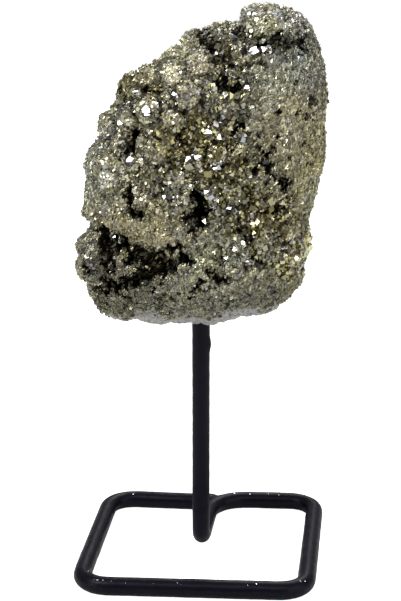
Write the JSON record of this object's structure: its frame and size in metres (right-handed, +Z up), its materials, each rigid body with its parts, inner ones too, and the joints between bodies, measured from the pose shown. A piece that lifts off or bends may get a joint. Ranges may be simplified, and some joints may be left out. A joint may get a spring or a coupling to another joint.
{
  "type": "pyrite specimen on a wire stand",
  "caption": "Pyrite cluster with rounded, crystal-covered lobes, held upright on a black stand bent from one rod: an upright on an open square base.",
  "frame": {"origin": "under the middle of the whole object's box, on the surface that the base rests on", "axes": "+X to the right and -Y towards a viewer of the show side, +Z up along the upright"},
  "size_m": [0.0596, 0.0562, 0.1323],
  "materials": {
    "pyrite": "brassy grey metallic crystals over a fine-grained crust, with dark crevices",
    "black_paint": "gloss black paint, slightly lumpy"
  },
  "bodies": {
    "root": {"pyrite_cluster": "pyrite", "wire_stand": "black_paint"}
  },
  "joints": []
}
